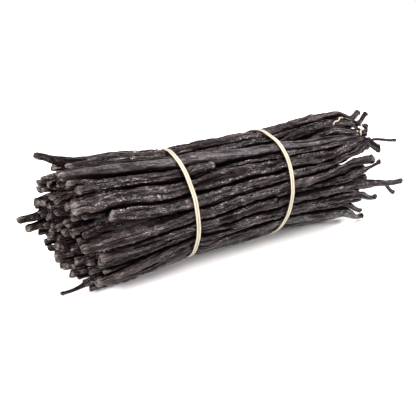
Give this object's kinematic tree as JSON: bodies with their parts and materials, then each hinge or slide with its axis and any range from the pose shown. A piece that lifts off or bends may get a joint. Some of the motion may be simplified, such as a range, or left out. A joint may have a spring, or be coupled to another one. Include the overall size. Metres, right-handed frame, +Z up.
{
  "type": "bundle of vanilla pods",
  "caption": "Lying bundle of dark cured vanilla pods, tied round by flat pale strands of split fibre, with blunt ends at one end and thin hooked tips at the other.",
  "frame": {"origin": "under the middle of the whole bundle, on the surface it lies on", "axes": "+X along the bundle from the blossom ends to the stem ends, +Z up, -Y towards the side seen in front"},
  "size_m": [0.194, 0.0602, 0.0628],
  "materials": {
    "vanilla_pod": "dark, wrinkled, with an oily sheen",
    "tie_fibre": "matt split plant fibre",
    "thread": "matt"
  },
  "bodies": {
    "root": {"pods": "vanilla_pod", "tie_near": "tie_fibre", "tie_far": "tie_fibre", "tip_thread_upper": "thread", "tip_thread_lower": "thread"}
  },
  "joints": []
}
